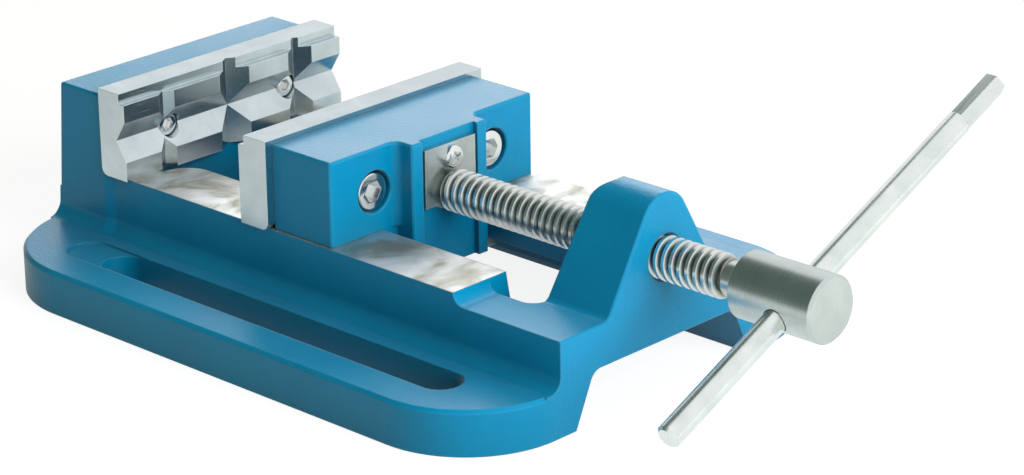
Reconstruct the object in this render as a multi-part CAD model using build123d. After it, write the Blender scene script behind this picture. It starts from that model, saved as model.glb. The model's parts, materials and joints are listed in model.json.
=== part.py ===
from build123d import *
import math
import os

# Machine vise for a drill press, cast body with a sliding jaw.
# x runs along the screw towards the handle, y across the jaws, z up.
# x = 0 is the clamping face of the fixed jaw, z = 0 the underside of the base.

# Body casting
base_back = -47.0
body_front = 244.5
base_half_width = 108.5
base_thickness = 19.0
base_front_corner = 45.0
base_rear_corner = 50.0
base_rim_bevel = 1.4
block_half_width = 61.5
rail_half_width = 60.0
step_start = -16.5
step_end = -11.0
rail_top = 44.5
rail_bottom = 24.0
rail_end = 188.0
rail_end_slope = 0.2
ledge_drop = 5.0
ledge_foot_round = 5.5
gap_half_width = 30.0
gap_round = 9.0
rear_gap_from = -6.0
rear_gap_to = 1.0
rear_gap_half = 44.0
rear_gap_round = 13.5
opening_half_width = 40.0
opening_round = 7.0
block_top_back = -42.0
block_top = 79.5
wall_foot_round = 6.0
cast_edge_bevel = 0.8

# Hollows below the body
arch_height = 22.0
arch_round = 6.0
leg_foot_half = 51.3
leg_top_half = 41.2
cavity_start = 6.0
under_rail_half = 45.0
rear_pocket_from = -38.0
rear_pocket_to = -12.0
rear_pocket_height = 32.0
flange_hollow_half = 68.0
flange_hollow_height = 11.0
flange_hollow_from = 20.0
flange_hollow_to = 208.0
flange_hollow_round = 8.0

# Slots in the base, one each side
slot_y = 82.0
slot_width = 18.5
slot_from = 8.5
slot_to = 211.5
slot_land_length = 21.5
slot_land_depth = 1.0
slot_land_margin = 0.5

# Pillar that holds the nut thread
pillar_top = 83.0
pillar_crown_radius = 13.5
pillar_flank_angle = 30.0
pillar_foot_round = 4.0
pillar_skirt = 8.0
pillar_root = 10.0
pillar_back = 212.5
pillar_back_lean = 3.1
pillar_back_round = 7.0
nut_mouth_bevel = 0.9

# Jaw plates
jaw_width = 125.0
plate_thickness = 16.0
plate_top = 82.8
step_depth = 3.2
step_height = 4.4
prism_depth = 5.6
prism_half_height = 8.8
prism_z = 61.8
wide_groove_half = 8.5
middle_groove_half = 7.0
narrow_groove_half = 4.3
groove_slope = 1.52
groove_y = 38.5
plate_corner = 3.5

# Screws that hold the plates
screw_y = 34.0
fixed_screw_radius = 3.0
fixed_head_radius = 5.0
fixed_head_height = 6.0
fixed_key_width = 5.0
fixed_key_depth = 3.0
fixed_screw_length = 16.0
fixed_thread_depth = 14.0
moving_screw_radius = 5.0
moving_head_radius = 8.0
moving_head_height = 10.0
moving_key_width = 8.0
moving_key_depth = 5.0
moving_counterbore_radius = 9.0
moving_counterbore_depth = 11.0
moving_counterbore_rim = 0.5
moving_thread_in_plate = 10.0

# Moving jaw
opening = 70.5
moving_half_width = 58.4
moving_depth = 33.0
moving_top = 80.4
boss_depth = 9.5
boss_half_width = 21.8
boss_bottom = 22.8
boss_inner_round = 4.0
channel_half_width = 15.9
channel_depth = 2.5

# Screw spindle
spindle_z = 56.4
spindle_radius = 9.0
neck_radius = 6.0
tip_length = 14.0
shank_radius = 7.1
thread_front = 278.0
hub_end = 326.4
hub_length = 42.8
hub_radius = 13.6
hub_chamfer_length = 3.4
hub_chamfer_height = 4.2
hub_edge = 1.2
tenon_length = 17.0
pin_radius = 2.0
pin_from_hub_start = 9.0
pin_sunk = 0.4
pin_past_shank = 2.5
thrust_disc_radius = 8.8
thrust_disc_thickness = 3.0

# Retaining plate and its screw
retainer_half_width = 14.5
retainer_top = 76.0
retainer_bottom = 51.0
retainer_screw_z = 70.6
retainer_screw_radius = 2.5
retainer_head_radius = 4.8
retainer_head_height = 3.6
retainer_head_bevel = 1.4
retainer_screw_length = 10.0

# Guide plate below the rails
guide_length = 23.0
guide_half_width = 41.0
guide_thickness = 7.0
guide_from_plate = 5.5
guide_screw_y = 14.0
guide_screw_radius = 3.0
guide_head_radius = 5.0
guide_head_height = 6.0
guide_washer_radius = 6.0
guide_washer_thickness = 1.6
guide_screw_length = 16.0
guide_key_width = 5.0
guide_key_depth = 3.0

# Tommy bar
bar_x = 309.0
bar_radius = 5.0
bar_length = 213.0
bar_near_reach = 80.0
bar_angle = 24.06
bar_hex_length = 25.0
bar_hex_across = 8.6
bar_end_chamfer = 1.0

# Clearances, the floor of the rails' outline, and how far a cut runs past what it cuts
slide_gap = 0.1
turn_gap = 0.08
bar_gap = 0.3
seat_gap = 0.3
root_z = 1.0
beyond = 1.0

# Places that follow from the sizes above
plate_back = -plate_thickness
moving_face = opening
moving_back_of_plate = opening + plate_thickness
jaw_back = moving_back_of_plate + moving_depth
boss_front = jaw_back + boss_depth
channel_floor = boss_front - channel_depth
ledge_top = rail_top - ledge_drop
leg_slope = (leg_foot_half - leg_top_half) / arch_height
hub_start = hub_end - hub_length
pin_top = spindle_z + shank_radius + pin_past_shank
guide_start = moving_back_of_plate + guide_from_plate
guide_top = rail_bottom - slide_gap


def box_between(x0, x1, y0, y1, z0, z1):
    return Pos((x0 + x1) / 2, (y0 + y1) / 2, (z0 + z1) / 2) * Box(x1 - x0, y1 - y0, z1 - z0)


def rod_x(radius, x0, x1, y=0.0, z=spindle_z):
    """A cylinder along x; its seam is turned away from the holes that cross it."""
    return Pos((x0 + x1) / 2, y, z) * Rot(0, 90, 0) * Rot(0, 0, 40) * Cylinder(radius, x1 - x0)


def rod_z(radius, z0, z1, x, y):
    return Pos(x, y, (z0 + z1) / 2) * Cylinder(radius, z1 - z0)


def side_plate(points, y0, y1):
    """A solid between two y values from an outline of x and z."""
    face = make_face(Polyline(*[(x, y0, z) for x, z in points], close=True))
    return extrude(face, amount=y1 - y0, dir=(0, 1, 0))


def front_plate(points, x0, x1):
    """A solid between two x values from an outline of y and z."""
    face = make_face(Polyline(*[(x0, y, z) for y, z in points], close=True))
    return extrude(face, amount=x1 - x0, dir=(1, 0, 0))


def hexagon_x(across, x0, x1, y, z):
    across_corners = across / math.cos(math.pi / 6)
    shape = RegularPolygon(across_corners / 2, 6)
    return Plane((x0, y, z), x_dir=(0, 1, 0), z_dir=(1, 0, 0)) * extrude(shape, amount=x1 - x0)


def hexagon_z(across, z0, z1, x, y):
    across_corners = across / math.cos(math.pi / 6)
    return Pos(x, y, z0) * extrude(RegularPolygon(across_corners / 2, 6), amount=z1 - z0)


def rail_end_at(z):
    """The rails end in a face that leans towards the handle as it goes down."""
    return rail_end + rail_end_slope * (rail_top - z)


def make_side_outline(half_width):
    """Rails and block from the side; the back of the block leans, and meets the top of the base."""
    return side_plate(
        [(base_back, root_z), (base_back, base_thickness), (block_top_back, block_top),
         (plate_back, block_top), (plate_back, rail_top), (body_front, rail_top),
         (body_front, root_z)], -half_width, half_width)


def make_walls():
    """Rails and the block behind the fixed plate, crossed from their plan and their side outline."""
    plan = Polyline(
        (base_back, -block_half_width, root_z), (step_start, -block_half_width, root_z),
        (step_end, -rail_half_width, root_z), (body_front, -rail_half_width, root_z),
        (body_front, rail_half_width, root_z), (step_end, rail_half_width, root_z),
        (step_start, block_half_width, root_z), (base_back, block_half_width, root_z),
        close=True)
    side = make_side_outline(block_half_width + beyond)
    walls = extrude(make_face(plan), amount=block_top, dir=(0, 0, 1)) & side
    cast_edges = [e for e in walls.edges() if e.center().X < plate_back - beyond
                  and (abs(e.center().Z - block_top) < 0.1 or e.center().X < block_top_back + 0.1)
                  and e.center().Z > root_z + beyond]
    return chamfer(cast_edges, cast_edge_bevel)


def make_wall_feet(outline):
    """The round between the side walls and the flanges, kept inside the base's outline."""
    x0 = base_back - wall_foot_round
    x1 = body_front + wall_foot_round
    reach = block_half_width + 2 * wall_foot_round
    plan = Polyline(
        (x0, -block_half_width, root_z), (step_start, -block_half_width, root_z),
        (step_end, -rail_half_width, root_z), (x1, -rail_half_width, root_z),
        (x1, rail_half_width, root_z), (step_end, rail_half_width, root_z),
        (step_start, block_half_width, root_z), (x0, block_half_width, root_z), close=True)
    feet = box_between(x0, x1, -reach, reach, root_z, base_thickness)
    feet = feet + extrude(make_face(plan), amount=base_thickness + 2 * wall_foot_round, dir=(0, 0, 1))
    corners = [e for e in feet.edges() if abs(e.center().Z - base_thickness) < 0.1
               and abs(e.center().Y) < block_half_width + 0.1 and abs(e.center().Y) > 1]
    feet = fillet(corners, wall_foot_round)
    wide = block_half_width + wall_foot_round
    return feet & make_side_outline(wide) & extrude(outline, amount=rail_top)


def make_pillar():
    """Flanks tangent to a round crown, crossed with a back that leans and is rounded at the top."""
    flank = math.radians(pillar_flank_angle)
    touch_y = pillar_crown_radius * math.cos(flank)
    touch_z = pillar_top - pillar_crown_radius * (1 - math.sin(flank))
    foot_y = touch_y + (touch_z - ledge_top) * math.tan(flank)
    skirt_y = foot_y + pillar_skirt
    low = ledge_top - pillar_root
    x0 = pillar_back - beyond
    outline = [
        Line((x0, -skirt_y, low), (x0, -skirt_y, ledge_top)),
        Line((x0, -skirt_y, ledge_top), (x0, -foot_y, ledge_top)),
        Line((x0, -foot_y, ledge_top), (x0, -touch_y, touch_z)),
        ThreePointArc((x0, -touch_y, touch_z), (x0, 0, pillar_top), (x0, touch_y, touch_z)),
        Line((x0, touch_y, touch_z), (x0, foot_y, ledge_top)),
        Line((x0, foot_y, ledge_top), (x0, skirt_y, ledge_top)),
        Line((x0, skirt_y, ledge_top), (x0, skirt_y, low)),
        Line((x0, skirt_y, low), (x0, -skirt_y, low))]
    front = extrude(make_face(outline), amount=body_front - x0, dir=(1, 0, 0))
    feet = [e for e in front.edges().filter_by(Axis.X)
            if abs(e.center().Z - ledge_top) < 0.1 and abs(abs(e.center().Y) - foot_y) < 0.1]
    front = fillet(feet, pillar_foot_round)
    side = side_plate(
        [(pillar_back, low), (pillar_back, ledge_top), (pillar_back + pillar_back_lean, pillar_top),
         (body_front, pillar_top), (body_front, low)], -rail_half_width, rail_half_width)
    shoulder = [e for e in side.edges().filter_by(Axis.Y)
                if abs(e.center().Z - pillar_top) < 0.1 and e.center().X < body_front - beyond]
    return front & fillet(shoulder, pillar_back_round)


def make_body():
    length = body_front - base_back
    centre = (body_front + base_back) / 2
    outline = Pos(centre, 0, 0) * Rectangle(length, 2 * base_half_width)
    corners = outline.vertices().sort_by(Axis.X)
    outline = fillet(corners[:2], base_rear_corner)
    outline = fillet(outline.vertices().group_by(Axis.X)[-1], base_front_corner)
    base = extrude(outline, amount=base_thickness)
    base = chamfer(base.edges().group_by(Axis.Z)[-1], base_rim_bevel)
    body = base + make_walls() + make_wall_feet(outline)

    # The ledge in front of the rails, with a round where they end
    wide = rail_half_width + beyond
    high = rail_top + beyond
    ledge_cut = side_plate(
        [(rail_end_at(high), high), (rail_end_at(ledge_top), ledge_top),
         (body_front + beyond, ledge_top), (body_front + beyond, high)], -wide, wide)
    corner = [e for e in ledge_cut.edges().filter_by(Axis.Y)
              if abs(e.center().Z - ledge_top) < 0.1 and e.center().X < body_front]
    body = body - fillet(corner, ledge_foot_round) + make_pillar()
    front_edges = [e for e in body.edges()
                   if abs(e.center().X - body_front) < 0.01 and e.center().Z > ledge_top - 0.01]
    body = chamfer(front_edges, cast_edge_bevel)

    # Open gap between the rails, wider below the fixed plate and between the rails' ends and the pillar
    gap = box_between(rear_gap_from, rail_end + gap_round, -gap_half_width, gap_half_width,
                      -beyond, high)
    gap = gap + box_between(rear_gap_from, rear_gap_to, -rear_gap_half, rear_gap_half, -beyond, high)
    rail_corners = [e for e in gap.edges().filter_by(Axis.Z) if abs(e.center().X - rear_gap_to) < 0.1
                    and abs(abs(e.center().Y) - gap_half_width) < 0.1]
    gap = fillet(rail_corners, rear_gap_round)
    low = rail_bottom - beyond
    opening = side_plate(
        [(rail_end_at(high), high), (rail_end_at(low), low), (pillar_back, low), (pillar_back, high)],
        -opening_half_width, opening_half_width)
    opening = fillet(opening.edges().filter_by(Axis.Z), opening_round)
    body = body - gap - opening

    # Hollows that are open below
    cavity = front_plate(
        [(-leg_foot_half - leg_slope * beyond, -beyond), (-leg_top_half, arch_height),
         (leg_top_half, arch_height), (leg_foot_half + leg_slope * beyond, -beyond)],
        cavity_start, body_front + beyond)
    cavity = fillet(cavity.edges().filter_by(Axis.X).group_by(Axis.Z)[-1], arch_round)
    under_rails = box_between(cavity_start, pillar_back, -under_rail_half, under_rail_half,
                              -beyond, rail_bottom)
    rear_pocket = box_between(rear_pocket_from, rear_pocket_to, -under_rail_half, under_rail_half,
                              -beyond, rear_pocket_height)
    rear_pocket = fillet(rear_pocket.edges().filter_by(Axis.Z), arch_round)
    flange_hollow = box_between(flange_hollow_from, flange_hollow_to, -flange_hollow_half,
                                flange_hollow_half, -beyond, flange_hollow_height)
    flange_hollow = fillet(flange_hollow.edges().filter_by(Axis.Z), flange_hollow_round)
    body = body - cavity - under_rails - rear_pocket - flange_hollow

    # Slots, with a shallow landing past the end behind the jaw
    slot_middle = (slot_from + slot_to) / 2
    slot_length = slot_to - slot_from
    slot = SlotOverall(slot_length, slot_width)
    landing = SlotOverall(slot_length + 2 * slot_land_length, slot_width + 2 * slot_land_margin)
    for side_of in (-1, 1):
        y = side_of * slot_y
        body = body - Pos(slot_middle, y, -beyond) * extrude(slot, amount=base_thickness + 2 * beyond)
        floor = base_thickness - slot_land_depth
        land = Pos(slot_middle, y, floor) * extrude(landing, amount=slot_land_depth + beyond)
        rear = box_between(slot_from - 2 * slot_land_length, slot_from + slot_width / 2,
                           y - slot_width, y + slot_width, floor, base_thickness + beyond)
        body = body - (land & rear)

    # Bore for the nut thread, and tapped holes for the fixed plate
    body = body - rod_x(spindle_radius + turn_gap, pillar_back - beyond, body_front + beyond)
    mouth = [e for e in body.edges().filter_by(GeomType.CIRCLE)
             if abs(e.center().X - body_front) < 0.1 and abs(e.radius - spindle_radius - turn_gap) < 0.01]
    body = chamfer(mouth, nut_mouth_bevel)
    tapped_to = plate_back - fixed_thread_depth
    for side_of in (-1, 1):
        body = body - rod_x(fixed_screw_radius + turn_gap, tapped_to, plate_back + beyond,
                            side_of * screw_y, prism_z)
    return body


def make_plate(with_prisms):
    """A jaw plate with its clamping face at x = 0, reaching to negative x."""
    step_z = plate_top - step_height
    outline = [(0, rail_top), (0, step_z), (-step_depth, step_z), (-step_depth, plate_top),
               (-plate_thickness, plate_top), (-plate_thickness, rail_top)]
    half = jaw_width / 2
    if with_prisms:
        outline = [(0, rail_top), (0, prism_z - prism_half_height), (-prism_depth, prism_z),
                   (0, prism_z + prism_half_height)] + outline[1:]
    plate = side_plate(outline, -half, half)
    low_back = [e for e in plate.edges().filter_by(Axis.Y)
                if abs(e.center().X + plate_thickness) < 0.1 and abs(e.center().Z - rail_top) < 0.1]
    plate = fillet(low_back, plate_corner)
    if with_prisms:
        grooves = [(0, wide_groove_half), (-groove_y, narrow_groove_half), (groove_y, middle_groove_half)]
        for y, half_width in grooves:
            mouth = half_width + groove_slope * beyond
            wedge = Polyline((beyond, y - mouth, rail_top - beyond), (beyond, y + mouth, rail_top - beyond),
                             (-half_width / groove_slope, y, rail_top - beyond), close=True)
            plate = plate - extrude(make_face(wedge), amount=plate_top - rail_top + 2 * beyond,
                                    dir=(0, 0, 1))
    return plate


def make_fixed_plate():
    plate = make_plate(True)
    head_back = -prism_depth - fixed_head_height
    for side_of in (-1, 1):
        y = side_of * screw_y
        plate = plate - rod_x(fixed_head_radius + seat_gap, head_back, beyond, y, prism_z)
        plate = plate - rod_x(fixed_screw_radius + seat_gap, plate_back - beyond, beyond, y, prism_z)
    return plate


def make_fixed_screw(side_of):
    y = side_of * screw_y
    head_back = -prism_depth - fixed_head_height
    screw = rod_x(fixed_head_radius, head_back, -prism_depth, y, prism_z)
    screw = screw + rod_x(fixed_screw_radius, head_back - fixed_screw_length, head_back, y, prism_z)
    return screw - hexagon_x(fixed_key_width, -prism_depth - fixed_key_depth, -prism_depth + beyond,
                             y, prism_z)


def make_moving_plate():
    plate = make_plate(False)
    plate = Pos(moving_face, 0, 0) * Rot(0, 0, 180) * plate
    for side_of in (-1, 1):
        plate = plate - rod_x(moving_screw_radius + turn_gap,
                              moving_back_of_plate - moving_thread_in_plate - beyond,
                              moving_back_of_plate + beyond, side_of * screw_y, prism_z)
    return plate


def make_moving_screw(side_of):
    y = side_of * screw_y
    head_front = jaw_back - moving_counterbore_depth
    head_back = head_front + moving_head_height
    screw = rod_x(moving_head_radius, head_front, head_back, y, prism_z)
    screw = screw + rod_x(moving_screw_radius, moving_back_of_plate - moving_thread_in_plate,
                          head_front, y, prism_z)
    return screw - hexagon_x(moving_key_width, head_back - moving_key_depth, head_back + beyond,
                             y, prism_z)


def make_moving_jaw():
    jaw = box_between(moving_back_of_plate, jaw_back, -moving_half_width, moving_half_width,
                      rail_top + slide_gap, moving_top)
    jaw = jaw + box_between(jaw_back, boss_front, -boss_half_width, boss_half_width,
                            rail_top + slide_gap, moving_top)
    uprights = jaw.edges().filter_by(Axis.Z)
    corners = [e for e in uprights if abs(e.center().X - jaw_back) < 0.1
               and abs(abs(e.center().Y) - boss_half_width) < 0.1]
    jaw = fillet(corners, boss_inner_round)
    outer = [e for e in jaw.edges() if e.center().X > moving_back_of_plate + 0.1
             and abs(e.center().Z - moving_top) < 0.1]
    outer = outer + [e for e in jaw.edges().filter_by(Axis.Z)
                     if (abs(e.center().X - jaw_back) < 0.1
                         and abs(abs(e.center().Y) - moving_half_width) < 0.1)
                     or abs(e.center().X - boss_front) < 0.1]
    jaw = chamfer(outer, cast_edge_bevel)

    # The tongue runs between the rails, and the boss hangs lower in front of it
    jaw = jaw + box_between(moving_back_of_plate, jaw_back, -gap_half_width + slide_gap,
                            gap_half_width - slide_gap, guide_top, rail_top + slide_gap)
    hanging = box_between(jaw_back, boss_front, -boss_half_width, boss_half_width,
                          boss_bottom, rail_top + slide_gap)
    hanging = chamfer(hanging.edges().filter_by(Axis.Z).group_by(Axis.X)[-1], cast_edge_bevel)
    jaw = jaw + hanging
    jaw = jaw - box_between(channel_floor, boss_front + beyond, -channel_half_width,
                            channel_half_width, boss_bottom - beyond, moving_top + beyond)
    tip_back = channel_floor - tip_length - thrust_disc_thickness - seat_gap
    jaw = jaw - rod_x(spindle_radius + turn_gap, tip_back, boss_front + beyond)
    jaw = jaw - rod_x(retainer_screw_radius + turn_gap, boss_front - retainer_screw_length - seat_gap,
                      boss_front + beyond, 0, retainer_screw_z)
    for side_of in (-1, 1):
        y = side_of * screw_y
        jaw = jaw - rod_x(moving_counterbore_radius, jaw_back - moving_counterbore_depth,
                          jaw_back + beyond, y, prism_z)
        jaw = jaw - rod_x(moving_screw_radius + seat_gap, moving_back_of_plate - beyond, jaw_back,
                          y, prism_z)
        jaw = jaw - rod_z(guide_screw_radius + turn_gap, guide_top - beyond,
                          guide_top + guide_screw_length - guide_thickness,
                          guide_start + guide_length / 2, side_of * guide_screw_y)
    rims = [e for e in jaw.edges().filter_by(GeomType.CIRCLE) if abs(e.center().X - jaw_back) < 0.1
            and abs(e.radius - moving_counterbore_radius) < 0.01]
    return chamfer(rims, moving_counterbore_rim)


def make_retaining_plate():
    plate = box_between(channel_floor, boss_front, -retainer_half_width, retainer_half_width,
                        retainer_bottom, retainer_top)
    slot_radius = neck_radius + turn_gap
    x0 = channel_floor - beyond
    x1 = boss_front + beyond
    plate = plate - rod_x(slot_radius, x0, x1)
    plate = plate - box_between(x0, x1, -slot_radius, slot_radius, retainer_bottom - beyond, spindle_z)
    return plate - rod_x(retainer_screw_radius + seat_gap, x0, x1, 0, retainer_screw_z)


def make_retaining_screw():
    screw = rod_x(retainer_screw_radius, boss_front - retainer_screw_length, boss_front,
                  0, retainer_screw_z)
    head = rod_x(retainer_head_radius, boss_front, boss_front + retainer_head_height,
                 0, retainer_screw_z)
    return screw + chamfer(head.edges().group_by(Axis.X)[-1], retainer_head_bevel)


def make_guide_plate():
    plate = box_between(guide_start, guide_start + guide_length, -guide_half_width, guide_half_width,
                        guide_top - guide_thickness, guide_top)
    for side_of in (-1, 1):
        plate = plate - rod_z(guide_screw_radius + seat_gap, 0, rail_bottom,
                              guide_start + guide_length / 2, side_of * guide_screw_y)
    return plate


def make_guide_washer(side_of):
    x = guide_start + guide_length / 2
    top = guide_top - guide_thickness
    low = top - guide_washer_thickness
    ring = rod_z(guide_washer_radius, low, top, x, side_of * guide_screw_y)
    return ring - rod_z(guide_screw_radius + seat_gap, low - beyond, top + beyond,
                        x, side_of * guide_screw_y)


def make_guide_screw(side_of):
    x = guide_start + guide_length / 2
    y = side_of * guide_screw_y
    seat = guide_top - guide_thickness - guide_washer_thickness
    low = seat - guide_head_height
    screw = rod_z(guide_head_radius, low, seat, x, y)
    screw = screw + rod_z(guide_screw_radius, seat, seat + guide_screw_length, x, y)
    return screw - hexagon_z(guide_key_width, low - beyond, low + guide_key_depth, x, y)


def make_spindle():
    tip_start = channel_floor - tip_length
    spindle = rod_x(spindle_radius, tip_start, channel_floor - slide_gap)
    spindle = spindle + rod_x(neck_radius, channel_floor - slide_gap, boss_front + slide_gap)
    spindle = spindle + rod_x(spindle_radius, boss_front + slide_gap, thread_front)
    spindle = spindle + rod_x(shank_radius, thread_front, hub_start + tenon_length)
    pin_x = hub_start + pin_from_hub_start
    return spindle - rod_z(pin_radius, spindle_z - hub_radius, pin_top, pin_x, 0)


def make_hub():
    mid = spindle_z
    profile = Polyline(
        (hub_start, 0, mid), (hub_start, 0, mid + hub_radius - hub_chamfer_height),
        (hub_start + hub_chamfer_length, 0, mid + hub_radius),
        (hub_end - hub_edge, 0, mid + hub_radius), (hub_end, 0, mid + hub_radius - hub_edge),
        (hub_end, 0, mid), close=True)
    hub = revolve(make_face(profile), Axis((0, 0, mid), (1, 0, 0)), 360)
    hub = hub - rod_x(shank_radius, hub_start - beyond, hub_start + tenon_length)
    hub = hub - rod_z(pin_radius, mid - hub_radius - beyond, pin_top, hub_start + pin_from_hub_start, 0)
    hole = Pos(bar_x, 0, mid) * Rot(bar_angle - 90, 0, 0) * Cylinder(bar_radius + bar_gap, 4 * hub_radius)
    return hub - hole


def make_hub_pin():
    """Driven in from below, through the shank and into the far wall of the hub."""
    return rod_z(pin_radius, spindle_z - hub_radius + pin_sunk, pin_top,
                 hub_start + pin_from_hub_start, 0)


def make_thrust_disc():
    front = channel_floor - tip_length - seat_gap
    return rod_x(thrust_disc_radius, front - thrust_disc_thickness, front)


def make_bar():
    """The bar along local z, then tilted into the hub."""
    far_reach = bar_length - bar_near_reach
    round_part = Pos(0, 0, (far_reach - bar_hex_length - bar_near_reach) / 2) * Cylinder(
        bar_radius, bar_length - bar_hex_length)
    round_part = chamfer(round_part.edges().group_by(Axis.Z)[0], bar_end_chamfer)
    corners = bar_hex_across / math.cos(math.pi / 6)
    hexagon = Pos(0, 0, far_reach - bar_hex_length) * extrude(
        RegularPolygon(corners / 2, 6), amount=bar_hex_length)
    bar = round_part + hexagon
    return Pos(bar_x, 0, spindle_z) * Rot(bar_angle - 90, 0, 0) * bar


pieces = {
    "vise_body": make_body(),
    "fixed_jaw_plate": make_fixed_plate(),
    "fixed_jaw_screw_near": make_fixed_screw(-1),
    "fixed_jaw_screw_far": make_fixed_screw(1),
    "moving_jaw": make_moving_jaw(),
    "moving_jaw_plate": make_moving_plate(),
    "moving_jaw_screw_near": make_moving_screw(-1),
    "moving_jaw_screw_far": make_moving_screw(1),
    "retaining_plate": make_retaining_plate(),
    "retaining_screw": make_retaining_screw(),
    "guide_plate": make_guide_plate(),
    "guide_washer_near": make_guide_washer(-1),
    "guide_washer_far": make_guide_washer(1),
    "guide_screw_near": make_guide_screw(-1),
    "guide_screw_far": make_guide_screw(1),
    "thrust_disc": make_thrust_disc(),
    "spindle": make_spindle(),
    "hub": make_hub(),
    "hub_pin": make_hub_pin(),
    "tommy_bar": make_bar(),
}

os.makedirs("parts", exist_ok=True)
for name, shape in pieces.items():
    print(name, len(shape.solids()), round(shape.volume, 1))
    export_step(shape, f"parts/{name}.step")
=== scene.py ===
# %% [markdown]
# This lesson dresses a packed machine vise. The CAD part is the fixed frame: it is loaded first,
# and every piece made here rides on one of its bodies, so the joints still move. Lengths are in
# metres, so MM turns a drawing's millimetres into them, and TOUCH is how near two places have to
# lie to count as the same.

# %% load the frame
import json
import math
import bpy
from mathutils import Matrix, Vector


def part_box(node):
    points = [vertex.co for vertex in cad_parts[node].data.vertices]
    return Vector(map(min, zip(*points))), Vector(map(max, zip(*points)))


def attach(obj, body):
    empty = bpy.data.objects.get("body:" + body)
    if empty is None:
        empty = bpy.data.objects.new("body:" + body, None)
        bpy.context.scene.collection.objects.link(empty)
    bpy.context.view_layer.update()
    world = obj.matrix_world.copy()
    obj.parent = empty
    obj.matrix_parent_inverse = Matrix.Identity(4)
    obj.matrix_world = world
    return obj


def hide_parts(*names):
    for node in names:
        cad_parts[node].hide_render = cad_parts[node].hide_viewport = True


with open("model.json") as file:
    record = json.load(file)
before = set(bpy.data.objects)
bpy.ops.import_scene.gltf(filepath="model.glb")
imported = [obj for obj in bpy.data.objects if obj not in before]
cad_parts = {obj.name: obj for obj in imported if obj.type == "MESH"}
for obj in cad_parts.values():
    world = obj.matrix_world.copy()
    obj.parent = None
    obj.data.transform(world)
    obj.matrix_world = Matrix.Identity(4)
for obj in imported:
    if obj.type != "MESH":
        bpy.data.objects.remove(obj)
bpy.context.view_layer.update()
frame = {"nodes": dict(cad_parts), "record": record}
nodes = frame["nodes"]
MM = 0.001
TOUCH = 0.1 * MM
print("nodes:", sorted(nodes))

# %% [markdown]
# Sizes are read from the boxes of the CAD nodes, in metres, so that what is made here still fits
# when the part changes. The spindle's axis is the middle of the hub's box, and the fixed plate
# stands on the rails, so its lowest height is the rail top.

# %% sizes from the nodes


def node_box(name):
    """Lowest and highest corner of a CAD node."""
    a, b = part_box(name)
    return Vector(a), Vector(b)


spindle_low, spindle_high = node_box("spindle")
hub_low, hub_high = node_box("hub")
retainer_low, retainer_high = node_box("retaining_plate")
axis_z = (hub_low.z + hub_high.z) / 2
rail_top = node_box("fixed_jaw_plate")[0].z
print("axis", round(axis_z / MM, 2), "mm high, rails", round(rail_top / MM, 2), "mm high")

# %% [markdown]
# The camera stands where the photograph was taken from. Its place, turn and lens come from fitting
# measured points of the photograph to the part. The shift moves the picture on the sensor, as a
# cropped photograph needs.

# %% camera
camera_data = bpy.data.cameras.new("camera")
camera = bpy.data.objects.new("camera", camera_data)
bpy.context.scene.collection.objects.link(camera)
camera.location = (1.08577, -0.96836, 0.56059)
camera.rotation_euler = (math.radians(69.0723), math.radians(0.8108), math.radians(43.6458))
camera_data.lens = 125.476
camera_data.sensor_width = 36.0
camera_data.shift_x = 0.01911
camera_data.shift_y = -0.01236
camera_data.clip_start = 0.05
camera_data.clip_end = 30.0
bpy.context.scene.camera = camera
bpy.context.scene.view_settings.view_transform = "Standard"
print("camera at", tuple(round(v, 3) for v in camera.location))

# %% [markdown]
# The vise was photographed on white. The world could be one plain colour, but then it would either
# look grey or light the vise too much. So it is white to the camera and to mirrored rays, and dim
# for the light that it sheds, with a little green that gives shaded paint its teal. The Light Path
# node tells the two apart.

# %% white surroundings
SHED_LIGHT = 0.19
SHED_COLOUR = (0.88, 0.99, 0.74)


def white_to_the_eye(tree):
    """One for rays from the camera, or mirrored or passed on by a surface, otherwise nought."""
    path = tree.nodes.new("ShaderNodeLightPath")
    total = path.outputs["Is Camera Ray"]
    for other in ("Is Glossy Ray", "Is Transmission Ray"):
        add = tree.nodes.new("ShaderNodeMath")
        add.operation = "ADD"
        add.use_clamp = True
        tree.links.new(total, add.inputs[0])
        tree.links.new(path.outputs[other], add.inputs[1])
        total = add.outputs["Value"]
    return total


world = bpy.data.worlds.new("studio")
bpy.context.scene.world = world
world.use_nodes = True
tree = world.node_tree
tree.nodes.clear()
output = tree.nodes.new("ShaderNodeOutputWorld")
mix = tree.nodes.new("ShaderNodeMixShader")
shed = tree.nodes.new("ShaderNodeBackground")
shed.inputs["Color"].default_value = (*SHED_COLOUR, 1.0)
shed.inputs["Strength"].default_value = SHED_LIGHT
seen = tree.nodes.new("ShaderNodeBackground")
seen.inputs["Color"].default_value = (1.0, 1.0, 1.0, 1.0)
tree.links.new(white_to_the_eye(tree), mix.inputs["Fac"])
tree.links.new(shed.outputs["Background"], mix.inputs[1])
tree.links.new(seen.outputs["Background"], mix.inputs[2])
tree.links.new(mix.outputs["Shader"], output.inputs["Surface"])
print("surroundings shed", SHED_LIGHT)

# %% [markdown]
# The floor is a large pale sheet. A pure glow would swallow the vise's shadow, and a plain pale
# paint would look grey. So the camera sees a strong glow with a little paint on top, which gives
# white in the open and a faint shadow below the vise. Light that the floor sends up to the vise
# comes from a plain pale paint, and bright metal sees that paint with a little glow.

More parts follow.
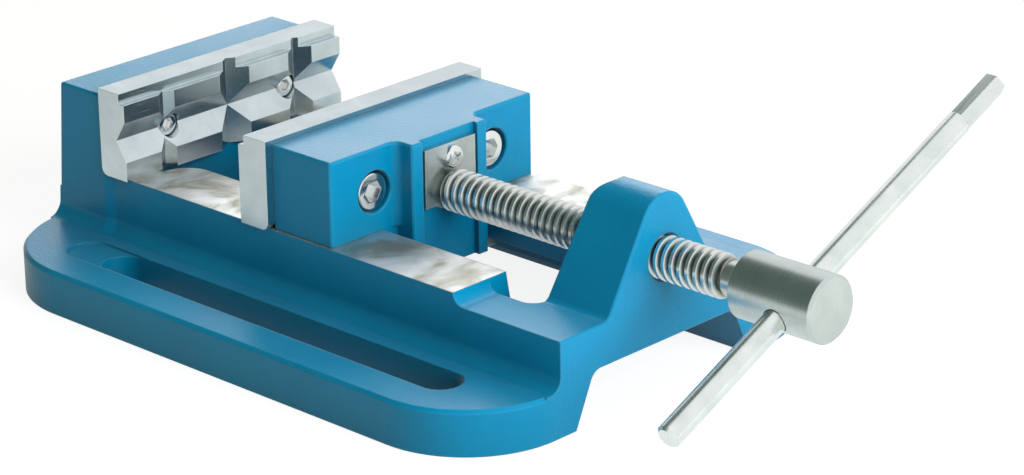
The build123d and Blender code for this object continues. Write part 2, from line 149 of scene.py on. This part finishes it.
# %% floor
SEEN_GLOW = 0.88
SEEN_PAINT = 0.30
MIRRORED_GLOW = 0.42
FLOOR_PAINT = 0.80
FLOOR_SIZE = 14.0
BELOW_BASE = 0.4 * MM
bpy.ops.object.select_all(action="DESELECT")
bpy.ops.mesh.primitive_plane_add(size=FLOOR_SIZE, location=(0.0, 0.0, -BELOW_BASE))
floor = bpy.context.object
floor.name = "floor"
floor_paint = bpy.data.materials.new("floor_paint")
floor_paint.use_nodes = True
tree = floor_paint.node_tree
tree.nodes.clear()
output = tree.nodes.new("ShaderNodeOutputMaterial")
paint = tree.nodes.new("ShaderNodeBsdfDiffuse")
paint.inputs["Color"].default_value = (FLOOR_PAINT, FLOOR_PAINT, FLOOR_PAINT, 1.0)
glow = tree.nodes.new("ShaderNodeEmission")
strength = tree.nodes.new("ShaderNodeMath")
strength.operation = "MULTIPLY"
strength.inputs[1].default_value = MIRRORED_GLOW
for_vise = tree.nodes.new("ShaderNodeAddShader")
tree.links.new(white_to_the_eye(tree), strength.inputs[0])
tree.links.new(strength.outputs["Value"], glow.inputs["Strength"])
tree.links.new(paint.outputs["BSDF"], for_vise.inputs[0])
tree.links.new(glow.outputs["Emission"], for_vise.inputs[1])
seen_paint = tree.nodes.new("ShaderNodeBsdfDiffuse")
seen_paint.inputs["Color"].default_value = (SEEN_PAINT, SEEN_PAINT, SEEN_PAINT, 1.0)
seen_glow = tree.nodes.new("ShaderNodeEmission")
seen_glow.inputs["Strength"].default_value = SEEN_GLOW
for_eye = tree.nodes.new("ShaderNodeAddShader")
tree.links.new(seen_paint.outputs["BSDF"], for_eye.inputs[0])
tree.links.new(seen_glow.outputs["Emission"], for_eye.inputs[1])
choice = tree.nodes.new("ShaderNodeMixShader")
tree.links.new(tree.nodes.new("ShaderNodeLightPath").outputs["Is Camera Ray"], choice.inputs["Fac"])
tree.links.new(for_vise.outputs["Shader"], choice.inputs[1])
tree.links.new(for_eye.outputs["Shader"], choice.inputs[2])
tree.links.new(choice.outputs["Shader"], output.inputs["Surface"])
floor.data.materials.append(floor_paint)
print("floor glow", SEEN_GLOW)

# %% [markdown]
# Steel shows what stands around it, so the lamps are large and soft. A wide one on the handle side
# lights the faces that look along the screw, and a small one high above lights the tops. Neither
# shows as a hard glare in the steel, because mirrored rays pass them by. A third stands behind the
# far side, where the painted tops catch it as a pale sheen. Light linking keeps it off the loose
# steel pieces, which it would burn out. A lamp's power is worked out from how bright its face
# should look.

# %% lamps


def soft_lamp(name, place, target, width, height, brightness):
    """A rectangular lamp that looks at a point; brightness 1 looks as white as paper."""
    data = bpy.data.lights.new(name, "AREA")
    data.shape = "RECTANGLE"
    data.size = width
    data.size_y = height
    data.energy = brightness * math.pi * width * height
    lamp = bpy.data.objects.new(name, data)
    bpy.context.scene.collection.objects.link(lamp)
    lamp.location = place
    aim = Vector(target) - Vector(place)
    lamp.rotation_euler = aim.to_track_quat("-Z", "Y").to_euler()
    return lamp


middle = (0.12, 0.0, 0.05)
PAINTED = ("vise_body", "moving_jaw")
side_lamp = soft_lamp("handle_side_lamp", (1.50, -0.05, 0.66), middle, 1.3, 1.0, 5.6)
high_lamp = soft_lamp("high_lamp", (0.35, 0.50, 1.90), middle, 0.8, 0.8, 1.2)
for lamp in (side_lamp, high_lamp):
    lamp.visible_glossy = False
rear_lamp = soft_lamp("rear_lamp", (-0.81, 1.33, 1.03), middle, 1.3, 1.3, 2.5)
castings = bpy.data.collections.new("castings")
for name in PAINTED:
    castings.objects.link(nodes[name])
rear_lamp.light_linking.receiver_collection = castings
print("three lamps")

# %% [markdown]
# White all around makes a polished bar vanish. Photographers hold a dark card where its mirror
# image draws a soft dark streak along each round piece. Only mirrored rays see this card, so it
# neither shades the vise nor shows in other views.

# %% dark card
CARD_SIZE = (2.6, 2.8, 1.0)
CARD_PLACE = (-0.75, -0.65, 0.85)
CARD_COLOUR = (0.10, 0.14, 0.12)
bpy.ops.object.select_all(action="DESELECT")
bpy.ops.mesh.primitive_plane_add(size=1.0, location=(0.0, 0.0, 0.0))
card = bpy.context.object
card.name = "dark_card"
card.scale = CARD_SIZE
card.location = CARD_PLACE
toward = Vector(middle) - Vector(CARD_PLACE)
card.rotation_euler = toward.to_track_quat("Z", "Y").to_euler()
for kind in ("camera", "diffuse", "transmission", "shadow", "volume_scatter"):
    setattr(card, "visible_" + kind, False)
card_paint = bpy.data.materials.new("card_paint")
card_paint.use_nodes = True
tree = card_paint.node_tree
tree.nodes.clear()
output = tree.nodes.new("ShaderNodeOutputMaterial")
dull = tree.nodes.new("ShaderNodeEmission")
dull.inputs["Color"].default_value = (*CARD_COLOUR, 1.0)
tree.links.new(dull.outputs["Emission"], output.inputs["Surface"])
card.data.materials.append(card_paint)
print("dark card at", CARD_PLACE)

# %% [markdown]
# Every finish is built from a few small helpers. They read Object coordinates, so that a pattern
# stays on its piece when a joint moves. A tone is a noise through a colour ramp. The edge helper
# compares the rounded normal of the Bevel node with the true one, and is high only along edges,
# where paint wears thin and steel is polished by handling, and where the finishes also paint a
# pale highlight line. Full polish counts from EDGE_FULL, and EDGE_NONE is how far the two normals
# still agree on a plain face.

# %% helpers for finishes
EDGE_NONE = 0.98
EDGE_FULL = 0.80


def start_finish(name, metallic):
    """A new material: its node tree, its surface and the Object coordinates."""
    made = bpy.data.materials.new(name)
    made.use_nodes = True
    tree = made.node_tree
    surface = tree.nodes["Principled BSDF"]
    surface.inputs["Metallic"].default_value = metallic
    place = tree.nodes.new("ShaderNodeTexCoord").outputs["Object"]
    return made, tree, surface, place


def noise(tree, place, scale, detail=3.0, distortion=0.0, stretch=(1.0, 1.0, 1.0)):
    """An uneven pattern from 0 to 1; the stretch draws it out along an axis."""
    spread = tree.nodes.new("ShaderNodeMapping")
    spread.inputs["Scale"].default_value = stretch
    tree.links.new(place, spread.inputs["Vector"])
    pattern = tree.nodes.new("ShaderNodeTexNoise")
    pattern.inputs["Scale"].default_value = scale
    pattern.inputs["Detail"].default_value = detail
    pattern.inputs["Distortion"].default_value = distortion
    tree.links.new(spread.outputs["Vector"], pattern.inputs["Vector"])
    return pattern.outputs["Fac"]


def ramp(tree, value, stops):
    """Colours along a value, from pairs of place and colour."""
    made = tree.nodes.new("ShaderNodeValToRGB")
    elements = made.color_ramp.elements
    while len(elements) < len(stops):
        elements.new(0.5)
    for element, (at, colour) in zip(elements, stops):
        element.position = at
        element.color = (*colour, 1.0)
    tree.links.new(value, made.inputs["Fac"])
    return made.outputs["Color"]


def between(tree, value, from_low, from_high, to_low, to_high):
    """A value moved from one range to another, and kept inside it."""
    made = tree.nodes.new("ShaderNodeMapRange")
    for name, number in (("From Min", from_low), ("From Max", from_high), ("To Min", to_low),
                         ("To Max", to_high)):
        made.inputs[name].default_value = number
    tree.links.new(value, made.inputs["Value"])
    return made.outputs["Result"]


def sums(tree, operation, first, second, third=None):
    """One Math node; each input is a number or another node's output."""
    made = tree.nodes.new("ShaderNodeMath")
    made.operation = operation
    for socket, given in zip(made.inputs, (first, second, third)):
        if isinstance(given, (int, float)):
            socket.default_value = given
        elif given is not None:
            tree.links.new(given, socket)
    return made.outputs["Value"]


def blend_colours(tree, amount, first, second):
    """The first colour where the amount is nought, the second where it is one."""
    made = tree.nodes.new("ShaderNodeMix")
    made.data_type = "RGBA"
    tree.links.new(amount, made.inputs["Factor"])
    colour_inputs = [socket for socket in made.inputs if socket.type == "RGBA"]
    for socket, given in zip(colour_inputs, (first, second)):
        if isinstance(given, tuple):
            socket.default_value = (*given, 1.0)
        else:
            tree.links.new(given, socket)
    return [socket for socket in made.outputs if socket.type == "RGBA"][0]


def rounded_edges(tree, radius):
    """The normal of softly rounded edges, and a value that is high only along those edges."""
    soft = tree.nodes.new("ShaderNodeBevel")
    soft.samples = 6
    soft.inputs["Radius"].default_value = radius
    true = tree.nodes.new("ShaderNodeNewGeometry")
    agree = tree.nodes.new("ShaderNodeVectorMath")
    agree.operation = "DOT_PRODUCT"
    tree.links.new(soft.outputs["Normal"], agree.inputs[0])
    tree.links.new(true.outputs["Normal"], agree.inputs[1])
    edge = between(tree, agree.outputs["Value"], EDGE_NONE, EDGE_FULL, 0.0, 1.0)
    return soft.outputs["Normal"], edge


def relief(tree, height, strength, depth, normal):
    """Bump on top of another normal; the depth is in metres."""
    made = tree.nodes.new("ShaderNodeBump")
    made.inputs["Strength"].default_value = strength
    made.inputs["Distance"].default_value = depth
    tree.links.new(height, made.inputs["Height"])
    tree.links.new(normal, made.inputs["Normal"])
    return made.outputs["Normal"]


print("helpers ready")

# %% [markdown]
# The castings are sprayed with blue enamel over a fine cast skin. The skin shows as an orange peel
# of about a millimetre with a finer grain in it. The colour is paler along the edges, partly worn
# thin and partly a painted highlight line, and darker in hollows, a painted shade: Ambient
# Occlusion tells how deep a hollow is.
# The enamel is not a mirror, so its gloss is weak, and a sheen gives the pale veil that such paint
# shows where it is looked at from a low angle.

# %% blue enamel
DEEP_BLUE = (0.000, 0.285, 0.560)
CLEAR_BLUE = (0.000, 0.335, 0.630)
WORN_AND_HIGHLIT_BLUE = (0.17, 0.47, 0.66)
SHADED_BLUE = (0.0, 0.11, 0.17)
PAINT_EDGE = 0.9 * MM
HOLLOW_REACH = 45.0 * MM
enamel, tree, surface, place = start_finish("blue_enamel", 0.0)
soft_normal, edge = rounded_edges(tree, PAINT_EDGE)
broad = noise(tree, place, 22.0, 5.0, 0.4)
blue = ramp(tree, broad, [(0.30, DEEP_BLUE), (0.70, CLEAR_BLUE)])
speck = noise(tree, place, 900.0, 2.0)
# Paler paint along the edges, partly wear and partly a painted highlight line.
wear_and_highlight = sums(tree, "MULTIPLY", edge, between(tree, speck, 0.35, 0.70, 0.25, 0.85))
worn_and_highlit_blue = blend_colours(tree, wear_and_highlight, blue, WORN_AND_HIGHLIT_BLUE)
# Darker paint in hollows, from Ambient Occlusion, is a painted shade.
hollow = tree.nodes.new("ShaderNodeAmbientOcclusion")
hollow.samples = 8
hollow.inputs["Distance"].default_value = HOLLOW_REACH
depth_of_shade = between(tree, hollow.outputs["AO"], 0.25, 0.95, 0.60, 0.0)
shaded_blue = blend_colours(tree, depth_of_shade, worn_and_highlit_blue, SHADED_BLUE)
tree.links.new(shaded_blue, surface.inputs["Base Color"])
tree.links.new(between(tree, broad, 0.3, 0.7, 0.30, 0.40), surface.inputs["Roughness"])
surface.inputs["Specular IOR Level"].default_value = 0.28
surface.inputs["Sheen Weight"].default_value = 0.40
surface.inputs["Sheen Roughness"].default_value = 0.28
print("enamel", enamel.name, "edges", PAINT_EDGE / MM, "mm")

# %% orange peel
PEEL_DEPTH = 0.16 * MM
GRAIN_DEPTH = 0.02 * MM
peel = noise(tree, place, 750.0, 2.0)
grain = noise(tree, place, 3200.0, 2.0)
bumped = relief(tree, peel, 0.80, PEEL_DEPTH, soft_normal)
bumped = relief(tree, grain, 0.25, GRAIN_DEPTH, bumped)
tree.links.new(bumped, surface.inputs["Normal"])
print("peel", PEEL_DEPTH / MM, "mm deep")

# %% [markdown]
# The rails are milled after painting, so they are bare. They share the paint's slot, so the paint
# asks where it is: on an upward face at rail height it gives way to milled steel. Cutter marks and
# old oil make soft brown smears on it. The far rail is drier than the near one, and so duller: its
# roughness changes across the open gap between them.

# %% bare steel in the castings
BROWN_STEEL = (0.40, 0.39, 0.33)
GREY_STEEL = (0.64, 0.65, 0.63)
BRIGHT_STEEL = (0.78, 0.79, 0.79)
GAP_HALF = 30.0 * MM
output = tree.nodes["Material Output"]
where = tree.nodes.new("ShaderNodeSeparateXYZ")
tree.links.new(place, where.inputs["Vector"])
facing = tree.nodes.new("ShaderNodeSeparateXYZ")
geometry = tree.nodes.new("ShaderNodeNewGeometry")
tree.links.new(geometry.outputs["True Normal"], facing.inputs["Vector"])
at_rail = sums(tree, "COMPARE", where.outputs["Z"], rail_top, TOUCH)
upward = sums(tree, "GREATER_THAN", facing.outputs["Z"], 0.95)
on_rail = sums(tree, "MULTIPLY", at_rail, upward)
milled = tree.nodes.new("ShaderNodeBsdfPrincipled")
milled.inputs["Metallic"].default_value = 1.0
smear = noise(tree, place, 38.0, 3.0, 2.2, (1.0, 0.6, 1.0))
tone = ramp(tree, smear, [(0.34, BROWN_STEEL), (0.50, GREY_STEEL), (0.66, BRIGHT_STEEL)])
tree.links.new(tone, milled.inputs["Base Color"])
oiled_to_dry = between(tree, where.outputs["Y"], -GAP_HALF, GAP_HALF, 0.50, 0.64)
smeared = between(tree, smear, 0.3, 0.7, 0.04, -0.02)
tree.links.new(sums(tree, "ADD", oiled_to_dry, smeared), milled.inputs["Roughness"])
cutter = noise(tree, place, 260.0, 2.0, 0.6, (1.0, 6.0, 1.0))
tree.links.new(relief(tree, cutter, 0.20, 0.02 * MM, soft_normal), milled.inputs["Normal"])
choice = tree.nodes.new("ShaderNodeMixShader")
tree.links.new(on_rail, choice.inputs["Fac"])
tree.links.new(surface.outputs["BSDF"], choice.inputs[1])
tree.links.new(milled.outputs["BSDF"], choice.inputs[2])
tree.links.new(choice.outputs["Shader"], output.inputs["Surface"])
print("bare rails at", round(rail_top / MM, 1), "mm")

# %% [markdown]
# The steel pieces differ in how they were made. Ground plates have fine lines along the jaw, rolled
# sheet has a dull mottle, drawn bar has streaks along its length, and plated screws are smooth. One
# helper makes them all from the stretch of a noise, which is drawn out along the lines.

# %% steel finishes


def steel(name, dark, light, roughness, line_scale, stretch, line_depth, edge_radius=0.3 * MM):
    """Bare or plated steel with lines, an uneven tone, and polished edges with a painted highlight.
    """
    made, tree, surface, place = start_finish(name, 1.0)
    soft_normal, edge = rounded_edges(tree, edge_radius)
    cloud = noise(tree, place, 70.0, 4.0, 0.5)
    tone = ramp(tree, cloud, [(0.32, dark), (0.68, light)])
    # Brighter steel along the edges: partly polish, partly a painted highlight line.
    polished_and_highlit = tuple(min(1.0, c * 1.4) for c in light)
    tree.links.new(blend_colours(tree, edge, tone, polished_and_highlit), surface.inputs["Base Color"])
    lines = noise(tree, place, line_scale, 3.0, 0.0, stretch)
    dull = between(tree, lines, 0.3, 0.7, roughness * 0.8, roughness * 1.25)
    tree.links.new(dull, surface.inputs["Roughness"])
    tree.links.new(relief(tree, lines, 0.15, line_depth, soft_normal), surface.inputs["Normal"])
    return made


ground = steel("ground_steel", (0.53, 0.61, 0.64), (0.63, 0.71, 0.74), 0.22, 2200.0,
               (1.0, 0.03, 1.0), 0.002 * MM)
plated = steel("screw_steel", (0.72, 0.75, 0.75), (0.86, 0.88, 0.88), 0.14, 500.0,
               (1.0, 1.0, 1.0), 0.004 * MM)
rolled = steel("plate_steel", (0.51, 0.57, 0.56), (0.63, 0.69, 0.68), 0.34, 300.0,
               (1.0, 1.0, 1.0), 0.010 * MM)
drawn = steel("bar_steel", (0.70, 0.76, 0.75), (0.84, 0.88, 0.87), 0.24, 700.0,
              (1.0, 0.05, 0.10), 0.003 * MM)
print("steels:", ground.name, plated.name, rolled.name, drawn.name)

# %% [markdown]
# Two more steels follow the spindle's axis. The hub was turned, so its tool marks are rings: fine
# lines that depend on the place along the axis plus the distance from it, which gives rings on the
# round side and on the end face alike.

# %% turned steel round the axis


def from_axis(tree, place):
    """Place along the spindle's axis and distance from it."""
    where = tree.nodes.new("ShaderNodeSeparateXYZ")
    tree.links.new(place, where.inputs["Vector"])
    above = sums(tree, "SUBTRACT", where.outputs["Z"], axis_z)
    square = sums(tree, "ADD", sums(tree, "POWER", where.outputs["Y"], 2.0),
                  sums(tree, "POWER", above, 2.0))
    return where.outputs["X"], sums(tree, "SQRT", square, 0.0)


TURNED_DARK = (0.52, 0.58, 0.57)
TURNED_LIGHT = (0.64, 0.70, 0.69)
HANDLED_AND_HIGHLIT_EDGE = (0.94, 0.96, 0.96)
MARK_DEPTH = 0.006 * MM
turned, tree, surface, place = start_finish("hub_steel", 1.0)
soft_normal, edge = rounded_edges(tree, 0.4 * MM)
along, apart = from_axis(tree, place)
rings = tree.nodes.new("ShaderNodeTexNoise")
rings.noise_dimensions = "1D"
rings.inputs["Scale"].default_value = 1900.0
rings.inputs["Detail"].default_value = 3.0
tree.links.new(sums(tree, "ADD", along, apart), rings.inputs["W"])
marks = rings.outputs["Fac"]
tone = ramp(tree, noise(tree, place, 60.0, 4.0), [(0.3, TURNED_DARK), (0.7, TURNED_LIGHT)])
# Brighter steel along the edges: partly polish from handling, partly a painted highlight line.
tree.links.new(blend_colours(tree, edge, tone, HANDLED_AND_HIGHLIT_EDGE), surface.inputs["Base Color"])
tree.links.new(between(tree, marks, 0.3, 0.7, 0.27, 0.34), surface.inputs["Roughness"])
tree.links.new(relief(tree, marks, 0.15, MARK_DEPTH, soft_normal), surface.inputs["Normal"])
print("tool marks", MARK_DEPTH / MM, "mm deep")

# %% [markdown]
# The thread's colour depends on the distance from the axis: dark at the root, a painted shade in
# the valleys, and bright on the crests, a painted highlight. The shank beyond the thread is kept
# about as bright as the crests, although it is thinner, so that it is not shaded like a valley.

# %% thread steel
THREAD_DEPTH = 2.25 * MM
THREAD_END = 278.0 * MM
VALLEY_SHADE = (0.17, 0.18, 0.16)
FLANK = (0.46, 0.49, 0.46)
CREST_HIGHLIGHT = (0.76, 0.79, 0.77)
BELOW_ROOT = 0.1 * MM
major = (spindle_high.z - spindle_low.z) / 2
root = major - THREAD_DEPTH
threaded, tree, surface, place = start_finish("thread_steel", 1.0)
soft_normal = rounded_edges(tree, 0.15 * MM)[0]
along, apart = from_axis(tree, place)
# Dark at the root and bright on the crests: painted shade in the valleys, painted highlight on the
# crests.
height = between(tree, apart, root - BELOW_ROOT, major, 0.0, 1.0)
plain_shank = sums(tree, "MULTIPLY", sums(tree, "GREATER_THAN", along, THREAD_END), 0.8)
height = sums(tree, "MAXIMUM", height, plain_shank)
tone = ramp(tree, height, [(0.05, VALLEY_SHADE), (0.50, FLANK), (0.92, CREST_HIGHLIGHT)])
tree.links.new(tone, surface.inputs["Base Color"])
oil = noise(tree, place, 160.0, 3.0)
tree.links.new(between(tree, oil, 0.3, 0.7, 0.24, 0.36), surface.inputs["Roughness"])
tree.links.new(relief(tree, oil, 0.2, 0.01 * MM, soft_normal), surface.inputs["Normal"])
print("thread from", round(root / MM, 2), "to", round(major / MM, 2), "mm radius")

# %% [markdown]
# Each CAD node gets the finish of its slot in the record. A piece that is modelled here in place of
# a node takes the same finish, rides on the node's body and replaces it.

# %% finishes on the nodes
finishes = {"blue_enamel": enamel, "ground_steel": ground, "screw_steel": plated,
            "plate_steel": rolled, "thread_steel": threaded, "hub_steel": turned,
            "bar_steel": drawn}
slot_of = {entry["node"]: entry["material_slot"] for entry in frame["record"]["subparts"]}
for name, slot in slot_of.items():
    for held in nodes[name].material_slots:
        held.material = finishes[slot]
print("dressed", len(slot_of), "nodes")


def stands_for(piece, node, body):
    """A piece that replaces a CAD node and takes its finish."""
    piece.data.materials.clear()
    piece.data.materials.append(finishes[slot_of[node]])
    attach(piece, body)
    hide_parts(node)


# %% [markdown]
# The spindle's core is turned: a disc is pulled out along the axis and resized at each shoulder, as
# the lathe tool steps in and out. It has the chamfered tip, the narrow neck that the retaining
# plate forks over, the root of the thread and the shank inside the hub.

# %% spindle core
NECK_RADIUS = 6.0 * MM
SHANK_RADIUS = 7.1 * MM
TIP_BEVEL = 0.8 * MM
SHOULDER = 0.01 * MM
NECK_GAP = 0.1 * MM
neck_from = retainer_low.x - NECK_GAP
neck_to = retainer_high.x + NECK_GAP


def turned_piece(name, stations, segments=72):
    """A closed turned piece on the spindle's axis, from pairs of place and radius."""
    bpy.ops.object.select_all(action="DESELECT")
    x, radius = stations[0]
    bpy.ops.mesh.primitive_circle_add(vertices=segments, radius=radius, fill_type="NGON",
                                      location=(x, 0.0, axis_z), rotation=(0.0, math.pi / 2, 0.0))
    made = bpy.context.object
    made.name = name
    bpy.ops.object.transform_apply(location=True, rotation=True, scale=True)
    bpy.ops.object.mode_set(mode="EDIT")
    bpy.ops.mesh.select_all(action="SELECT")
    for next_x, next_radius in stations[1:]:
        bpy.ops.mesh.extrude_region_move(TRANSFORM_OT_translate={"value": (next_x - x, 0.0, 0.0)})
        ratio = next_radius / radius
        bpy.ops.transform.resize(value=(1.0, ratio, ratio), center_override=(next_x, 0.0, axis_z))
        x, radius = next_x, next_radius
    bpy.ops.mesh.select_all(action="SELECT")
    bpy.ops.mesh.normals_make_consistent(inside=False)
    bpy.ops.object.mode_set(mode="OBJECT")
    bpy.ops.object.shade_smooth_by_angle(angle=math.radians(35))
    return made


core = turned_piece("spindle_core", [
    (spindle_low.x, major - TIP_BEVEL), (spindle_low.x + TIP_BEVEL, major), (neck_from, major),
    (neck_from + SHOULDER, NECK_RADIUS), (neck_to, NECK_RADIUS), (neck_to + SHOULDER, root),
    (THREAD_END - SHOULDER, root), (THREAD_END, SHANK_RADIUS), (spindle_high.x, SHANK_RADIUS)])
stands_for(core, "spindle", "spindle")
print("core", round((spindle_high.x - spindle_low.x) / MM, 1), "mm long")

# %% [markdown]
# The thread is trapezoidal, 4 mm a turn. One closed outline of its ridge, in millimetres along the
# axis and above the root, is set on the core, and the Screw modifier sweeps it round and along, as
# a die would roll it. The ridge reaches a little into the core, so that no gap shows at its foot.
# At both ends the tops are cut down to a cone, as the chamfer of a real thread does.

# %% spindle thread
LEAD = 4.0 * MM
STEPS_A_TURN = 64
INTO_CORE = 0.3
END_CUT = 0.4 * MM
ridge = [(0.30, -INTO_CORE), (0.42, 0.0), (1.13, 2.08), (1.30, 2.25), (2.70, 2.25), (2.87, 2.08),
         (3.58, 0.0), (3.70, -INTO_CORE)]
first_x = neck_to - 0.4 * LEAD
outline = [(first_x + x * MM, 0.0, root + h * MM) for x, h in ridge]
mesh = bpy.data.meshes.new("spindle_thread")
mesh.from_pydata(outline, [(i, (i + 1) % len(outline)) for i in range(len(outline))], [])
thread = bpy.data.objects.new("spindle_thread", mesh)
bpy.context.scene.collection.objects.link(thread)
bpy.ops.object.select_all(action="DESELECT")
thread.select_set(True)
bpy.context.view_layer.objects.active = thread
turns = int((THREAD_END - neck_to) / LEAD) + 1
lead = thread.modifiers.new("lead", "SCREW")
lead.axis = "X"
lead.angle = 2 * math.pi
lead.screw_offset = LEAD
lead.iterations = turns
lead.steps = STEPS_A_TURN
lead.render_steps = STEPS_A_TURN
bpy.ops.object.modifier_apply(modifier="lead")
bpy.ops.object.mode_set(mode="EDIT")
bpy.ops.mesh.select_all(action="SELECT")
bpy.ops.mesh.remove_doubles(threshold=0.001 * MM)
bpy.ops.mesh.fill_holes(sides=len(outline))
bpy.ops.object.mode_set(mode="OBJECT")
for vertex in thread.data.vertices:
    x, y, z = vertex.co
    inside_x = min(max(x, neck_to), THREAD_END)
    cone = root - INTO_CORE * MM + min(inside_x - neck_to, THREAD_END - inside_x)
    radius = math.hypot(y, z)
    kept = min(1.0, max(cone, root - END_CUT) / radius)
    vertex.co = (inside_x, y * kept, axis_z + z * kept)
bpy.ops.object.mode_set(mode="EDIT")
bpy.ops.mesh.select_all(action="SELECT")
bpy.ops.mesh.normals_make_consistent(inside=False)
bpy.ops.object.mode_set(mode="OBJECT")
bpy.ops.object.shade_smooth_by_angle(angle=math.radians(30))
thread.data.materials.append(threaded)
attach(thread, "spindle")
print("thread turns", turns, "faces", len(thread.data.polygons))

# %% [markdown]
# Screws are made along z with the rim of the head at nought, where they are easy to measure, and
# then turned and moved to their place. The head starts as a cylinder whose rim is bevelled. Its
# back is inset and drawn out into the shank. Faces are selected in code by where they point and
# lie.

# %% helpers for screws
END_BEVEL = 0.5 * MM


def select_by(piece, wanted):
    """Selects the faces for which wanted says yes, and nothing else."""
    bpy.ops.object.mode_set(mode="EDIT")
    bpy.ops.mesh.select_mode(type="FACE")
    bpy.ops.mesh.select_all(action="DESELECT")
    bpy.ops.object.mode_set(mode="OBJECT")
    for face in piece.data.polygons:
        face.select = wanted(face)
    bpy.ops.object.mode_set(mode="EDIT")


def cut_away(piece, cutter):
    """Subtracts a cutter from a piece and removes the cutter."""
    taken = piece.modifiers.new("cut", "BOOLEAN")
    taken.operation = "DIFFERENCE"
    taken.solver = "EXACT"
    taken.object = cutter
    bpy.ops.object.select_all(action="DESELECT")
    piece.select_set(True)
    bpy.context.view_layer.objects.active = piece
    bpy.ops.object.modifier_apply(modifier="cut")
    bpy.data.objects.remove(cutter, do_unlink=True)


def screw_head(name, radius, height, rim, steps):
    """A head along z with its rounded rim at z = 0 and its seat below."""
    bpy.ops.object.select_all(action="DESELECT")
    bpy.ops.mesh.primitive_cylinder_add(vertices=72, radius=radius, depth=height,
                                        location=(0.0, 0.0, -height / 2))
    made = bpy.context.object
    made.name = name
    bpy.ops.object.transform_apply(location=True, rotation=True, scale=True)
    select_by(made, lambda face: face.normal.z > 0.9)
    bpy.ops.mesh.bevel(offset=rim, segments=steps, affect="EDGES")
    bpy.ops.object.mode_set(mode="OBJECT")
    return made


def add_shank(piece, radius, shank_radius, seat, length):
    """Insets the back of a head and draws it out into a shank with a bevelled end."""
    select_by(piece, lambda face: face.normal.z < -0.9 and abs(face.center.z - seat) < TOUCH)
    bpy.ops.mesh.inset(thickness=radius - shank_radius)
    for step in (END_BEVEL - length, -END_BEVEL):
        bpy.ops.mesh.extrude_region_move(TRANSFORM_OT_translate={"value": (0.0, 0.0, step)})
    tip = 1.0 - END_BEVEL / shank_radius
    bpy.ops.transform.resize(value=(tip, tip, 1.0), center_override=(0.0, 0.0, seat - length))
    bpy.ops.object.mode_set(mode="OBJECT")


def set_in_place(piece, node, downwards):
    """Turns a screw that was made along z and puts it where its CAD node is."""
    a, b = node_box(node)
    centre = (a + b) / 2
    piece.rotation_euler = (math.pi, 0.0, 0.0) if downwards else (0.0, math.pi / 2, 0.0)
    piece.location = (centre.x, centre.y, a.z) if downwards else (b.x, centre.y, centre.z)
    bpy.ops.object.select_all(action="DESELECT")
    piece.select_set(True)
    bpy.context.view_layer.objects.active = piece
    bpy.ops.object.transform_apply(location=True, rotation=True, scale=True)
    bpy.ops.object.shade_smooth_by_angle(angle=math.radians(35))


print("screw helpers ready")

# %% [markdown]
# Socket-head screws hold the jaw plates and the guide plate. A six-sided cutter sinks the key's
# hole. The cone that is cut next lies inside the hole and takes nothing away, but a cut also
# divides the head's flat end into new triangles, and the shading of that end depends on them. One
# helper makes both sizes and reads the place from the CAD node that the screw stands for. A size is
# the height of the head, the radius of the shank, and the width and depth of the hole. The rim is a
# share of the head's radius, and the cone's width and depth of place are shares of the hole's
# width.

# %% socket-head screws
M10 = (10.0 * MM, 5.0 * MM, 8.0 * MM, 5.0 * MM)
M6 = (6.0 * MM, 3.0 * MM, 5.0 * MM, 3.0 * MM)
RIM = 0.12
CONE_WIDTH = 0.62
CONE_DOWN = 0.13


def socket_screw(node, body, size, downwards=False):
    """A socket-head screw in the place of a CAD node."""
    head_height, shank_radius, key_width, key_depth = size
    a, b = node_box(node)
    reach = (b - a).z if downwards else (b - a).x
    radius = (b - a).y / 2
    made = screw_head(node + "_socket", radius, head_height, RIM * radius, 3)
    add_shank(made, radius, shank_radius, -head_height, reach - head_height)
    bpy.ops.object.select_all(action="DESELECT")
    bpy.ops.mesh.primitive_cylinder_add(vertices=6, radius=key_width / math.sqrt(3.0),
                                        depth=2 * key_depth, location=(0.0, 0.0, 0.0))
    cut_away(made, bpy.context.object)
    bpy.ops.object.select_all(action="DESELECT")
    bpy.ops.mesh.primitive_cone_add(vertices=48, radius1=0.0, radius2=CONE_WIDTH * key_width,
                                    depth=CONE_WIDTH * key_width,
                                    location=(0.0, 0.0, -CONE_DOWN * key_width))
    cut_away(made, bpy.context.object)
    set_in_place(made, node, downwards)
    stands_for(made, node, body)


for side in ("near", "far"):
    socket_screw("moving_jaw_screw_" + side, "moving_jaw", M10)
    socket_screw("fixed_jaw_screw_" + side, "vise_body", M6)
    socket_screw("guide_screw_" + side, "moving_jaw", M6, downwards=True)
print("six socket-head screws")

# %% [markdown]
# The retaining plate is held by one pan-head screw with a cross recess. Its head is a cylinder with
# a wide rounded rim, and two crossed bars cut the recess.

# %% retaining screw
PAN_HEIGHT = 3.6 * MM
PAN_SHANK = 2.5 * MM
PAN_RIM = 1.7 * MM
RECESS_BAR = (5.2 * MM, 1.1 * MM, 3.6 * MM)
a, b = node_box("retaining_screw")
pan_radius = (b.y - a.y) / 2
pan = screw_head("retaining_screw_pan", pan_radius, PAN_HEIGHT, PAN_RIM, 6)
add_shank(pan, pan_radius, PAN_SHANK, -PAN_HEIGHT, b.x - a.x - PAN_HEIGHT)
for angle in (25.0, 115.0):
    bpy.ops.object.select_all(action="DESELECT")
    bpy.ops.mesh.primitive_cube_add(size=1.0, location=(0.0, 0.0, 0.0),
                                    rotation=(0.0, 0.0, math.radians(angle)))
    bar = bpy.context.object
    bar.scale = RECESS_BAR
    bpy.ops.object.transform_apply(location=False, rotation=True, scale=True)
    cut_away(pan, bar)
set_in_place(pan, "retaining_screw", False)
stands_for(pan, "retaining_screw", "moving_jaw")
print("pan-head screw", len(pan.data.polygons), "faces")
